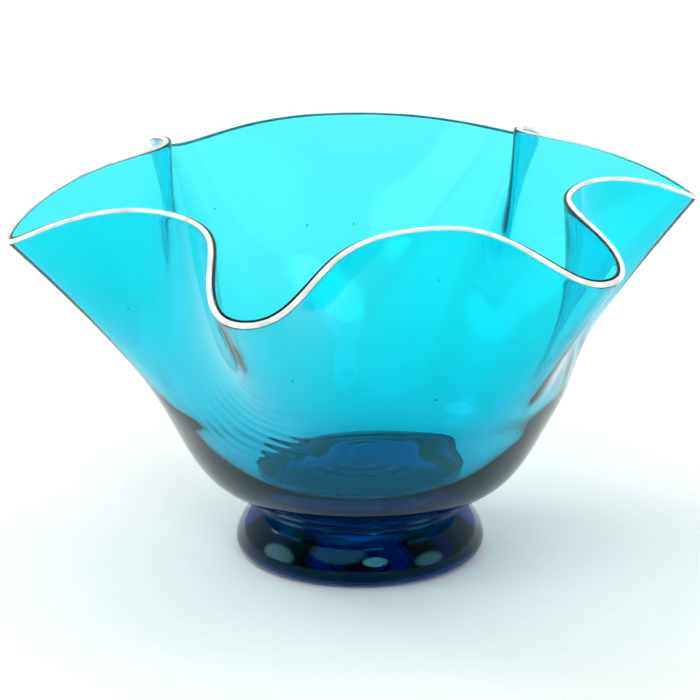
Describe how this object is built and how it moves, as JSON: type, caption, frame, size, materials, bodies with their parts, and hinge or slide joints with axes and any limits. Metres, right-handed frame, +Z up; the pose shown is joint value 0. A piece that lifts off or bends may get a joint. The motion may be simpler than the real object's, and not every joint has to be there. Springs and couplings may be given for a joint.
{
  "type": "art glass bowl",
  "caption": "Wide footed glass bowl with a flaring wall ruffled into lobes and folds, an opal lip wrap, a short collar and a flared foot.",
  "frame": {"origin": "centre of the flat ring the foot stands on", "axes": "+Z up out of the bowl's mouth; +X to the right and +Y to the back as the bowl is seen from its front, which is towards -Y"},
  "size_m": [0.2943, 0.2832, 0.1746],
  "materials": {
    "turquoise_glass": "fire-polished clear turquoise blown glass, deeper blue where it is thick",
    "opal_glass": "glossy white opal glass thread, fused to the lip"
  },
  "bodies": {
    "root": {"bowl_body": "turquoise_glass", "lip_wrap": "opal_glass", "collar": "turquoise_glass", "foot": "turquoise_glass"}
  },
  "joints": []
}
